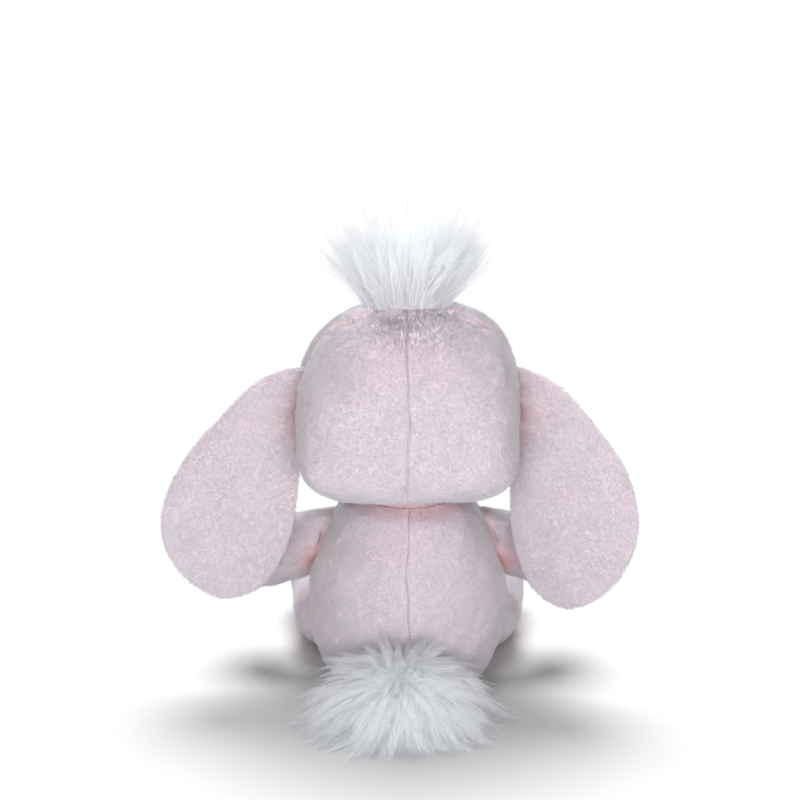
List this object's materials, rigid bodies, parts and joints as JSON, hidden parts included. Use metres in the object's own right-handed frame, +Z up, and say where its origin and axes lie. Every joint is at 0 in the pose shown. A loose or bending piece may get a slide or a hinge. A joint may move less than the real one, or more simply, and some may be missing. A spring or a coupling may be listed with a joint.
{
  "type": "seated plush rabbit",
  "caption": "Soft plush rabbit sitting upright, with hanging ears, a long-fur tuft on the head and a long-fur tail; the head, ears, arms, legs and tail move.",
  "frame": {"origin": "middle of the flat underside of the seat, on the surface that the rabbit sits on", "axes": "+Z up, the rabbit faces -Y with its tail at +Y, and its left side is +X; metres"},
  "size_m": [0.2022, 0.1708, 0.2065],
  "materials": {
    "pink_plush": "short brushed plush pile, matt with a soft sheen",
    "white_plush": "short brushed plush pile, matt with a soft sheen",
    "long_fur": "long straight faux fur, matt with a silky sheen",
    "fibre_fill": "loose polyester fibre",
    "pouch_cloth": "plain woven cloth",
    "nose_felt": "satin-stitched thread",
    "eye_plastic": "polished black",
    "washer_plastic": "plain moulded"
  },
  "bodies": {
    "torso": {"body_back_left": "pink_plush", "body_back_right": "pink_plush", "belly_panel": "white_plush", "seat_panel": "white_plush", "pellet_pouch": "pouch_cloth", "torso_stuffing": "fibre_fill"},
    "neck": {"neck_stuffing": "fibre_fill"},
    "head": {"head_back_left": "pink_plush", "head_back_right": "pink_plush", "forehead_panel": "pink_plush", "cheek_left": "white_plush", "cheek_right": "white_plush", "head_stuffing": "fibre_fill", "eye_left": "eye_plastic", "eye_right": "eye_plastic", "eye_washer_left": "washer_plastic", "eye_washer_right": "washer_plastic", "nose": "nose_felt", "tuft_backing": "long_fur", "hair_tuft": "long_fur"},
    "ear_left": {"ear_back_left": "pink_plush", "ear_lining_left": "white_plush"},
    "ear_right": {"ear_back_right": "pink_plush", "ear_lining_right": "white_plush"},
    "arm_left": {"arm_cover_left": "pink_plush", "arm_stuffing_left": "fibre_fill"},
    "arm_right": {"arm_cover_right": "pink_plush", "arm_stuffing_right": "fibre_fill"},
    "leg_left": {"leg_cover_left": "pink_plush", "foot_sole_left": "white_plush", "leg_stuffing_left": "fibre_fill"},
    "leg_right": {"leg_cover_right": "pink_plush", "foot_sole_right": "white_plush", "leg_stuffing_right": "fibre_fill"},
    "tail": {"tail_core": "white_plush", "tail_fur": "long_fur"}
  },
  "joints": [
    {"name": "neck_turn", "type": "hinge", "parent": "torso", "child": "neck", "pos_m": [0, 0, 0.081], "axis": [0, 0, 1], "range_deg": [-10, 10], "stiffness_Nm_per_rad": 0.15},
    {"name": "neck_nod", "type": "hinge", "parent": "neck", "child": "head", "pos_m": [0, 0, 0.081], "axis": [1, 0, 0], "range_deg": [-6, 8], "stiffness_Nm_per_rad": 0.4},
    {"name": "ear_left_swing", "type": "hinge", "parent": "head", "child": "ear_left", "pos_m": [0.0455, 0.0035, 0.1255], "axis": [0, 0, 1], "range_deg": [0, 75], "stiffness_Nm_per_rad": 0.004},
    {"name": "ear_right_swing", "type": "hinge", "parent": "head", "child": "ear_right", "pos_m": [-0.0455, 0.0035, 0.1255], "axis": [0, 0, -1], "range_deg": [-14, 60], "stiffness_Nm_per_rad": 0.004},
    {"name": "arm_left_raise", "type": "hinge", "parent": "torso", "child": "arm_left", "pos_m": [0.029, -0.009, 0.0605], "axis": [0, -1, 0], "range_deg": [-15, 25], "stiffness_Nm_per_rad": 0.05},
    {"name": "arm_right_raise", "type": "hinge", "parent": "torso", "child": "arm_right", "pos_m": [-0.029, -0.009, 0.0605], "axis": [0, 1, 0], "range_deg": [-15, 25], "stiffness_Nm_per_rad": 0.05},
    {"name": "leg_left_lift", "type": "hinge", "parent": "torso", "child": "leg_left", "pos_m": [0.033, -0.03, 0.0159], "axis": [-1, 0, 0], "range_deg": [0, 30]},
    {"name": "leg_right_lift", "type": "hinge", "parent": "torso", "child": "leg_right", "pos_m": [-0.033, -0.03, 0.0159], "axis": [-1, 0, 0], "range_deg": [0, 30]},
    {"name": "tail_wag", "type": "hinge", "parent": "torso", "child": "tail", "pos_m": [0.003, 0.0342, 0.013], "axis": [0, 0, 1], "range_deg": [-12, 12], "stiffness_Nm_per_rad": 0.02}
  ]
}
